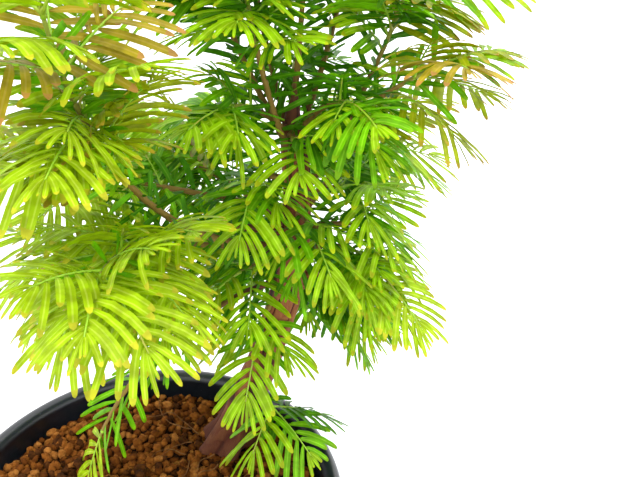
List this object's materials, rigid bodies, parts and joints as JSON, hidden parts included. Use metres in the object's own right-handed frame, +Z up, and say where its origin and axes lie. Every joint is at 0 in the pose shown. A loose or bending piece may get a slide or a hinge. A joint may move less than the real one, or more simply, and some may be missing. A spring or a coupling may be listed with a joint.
{
  "type": "potted dawn redwood bonsai",
  "caption": "Small leaning dawn redwood bonsai with upright leaders and feathery sprays of flat needles, planted off centre in a round glazed pot.",
  "frame": {"origin": "middle of the pot's flat underside", "axes": "+Z up; the trunk leans towards +X and stands back towards +Y of the pot's middle"},
  "size_m": [0.1857, 0.1866, 0.292],
  "materials": {
    "pot_glaze": "satin",
    "soil_granules": "matte",
    "bark": "matte",
    "shoot_bark": "matte",
    "needles": "satin"
  },
  "bodies": {
    "root": {"pot": "pot_glaze", "soil": "soil_granules", "trunk": "bark", "leader_middle_wood": "shoot_bark", "leader_middle_foliage": "needles", "leader_right_wood": "shoot_bark", "leader_right_foliage": "needles", "leader_back_right_wood": "shoot_bark", "leader_back_right_foliage": "needles", "leader_back_left_wood": "shoot_bark", "leader_back_left_foliage": "needles", "leader_front_left_wood": "shoot_bark", "leader_front_left_foliage": "needles", "leader_left_wood": "shoot_bark", "leader_left_foliage": "needles", "twig_fork_left_wood": "shoot_bark", "twig_fork_left_foliage": "needles", "twig_fork_right_wood": "shoot_bark", "twig_fork_right_foliage": "needles", "twig_fork_back_wood": "shoot_bark", "twig_fork_back_foliage": "needles", "twig_right_high_wood": "shoot_bark", "twig_right_high_foliage": "needles", "bough_right_high_wood": "shoot_bark", "bough_right_high_foliage": "needles", "bough_right_wood": "shoot_bark", "bough_right_foliage": "needles", "bough_right_low_wood": "shoot_bark", "bough_right_low_foliage": "needles", "bough_back_right_low_wood": "shoot_bark", "bough_back_right_low_foliage": "needles", "bough_front_high_wood": "shoot_bark", "bough_front_high_foliage": "needles", "bough_front_side_wood": "shoot_bark", "bough_front_side_foliage": "needles", "bough_front_wood": "shoot_bark", "bough_front_foliage": "needles", "bough_front_low_wood": "shoot_bark", "bough_front_low_foliage": "needles", "twig_front_wood": "shoot_bark", "twig_front_foliage": "needles", "twig_right_low_wood": "shoot_bark", "twig_right_low_foliage": "needles", "bough_front_left_high_wood": "shoot_bark", "bough_front_left_high_foliage": "needles", "bough_front_left_wood": "shoot_bark", "bough_front_left_foliage": "needles", "bough_left_wood": "shoot_bark", "bough_left_foliage": "needles", "bough_left_low_wood": "shoot_bark", "bough_left_low_foliage": "needles", "shoot_left_wood": "shoot_bark", "shoot_left_foliage": "needles", "bough_back_right_wood": "shoot_bark", "bough_back_right_foliage": "needles", "bough_back_left_wood": "shoot_bark", "bough_back_left_foliage": "needles", "bough_back_low_wood": "shoot_bark", "bough_back_low_foliage": "needles"}
  },
  "joints": []
}
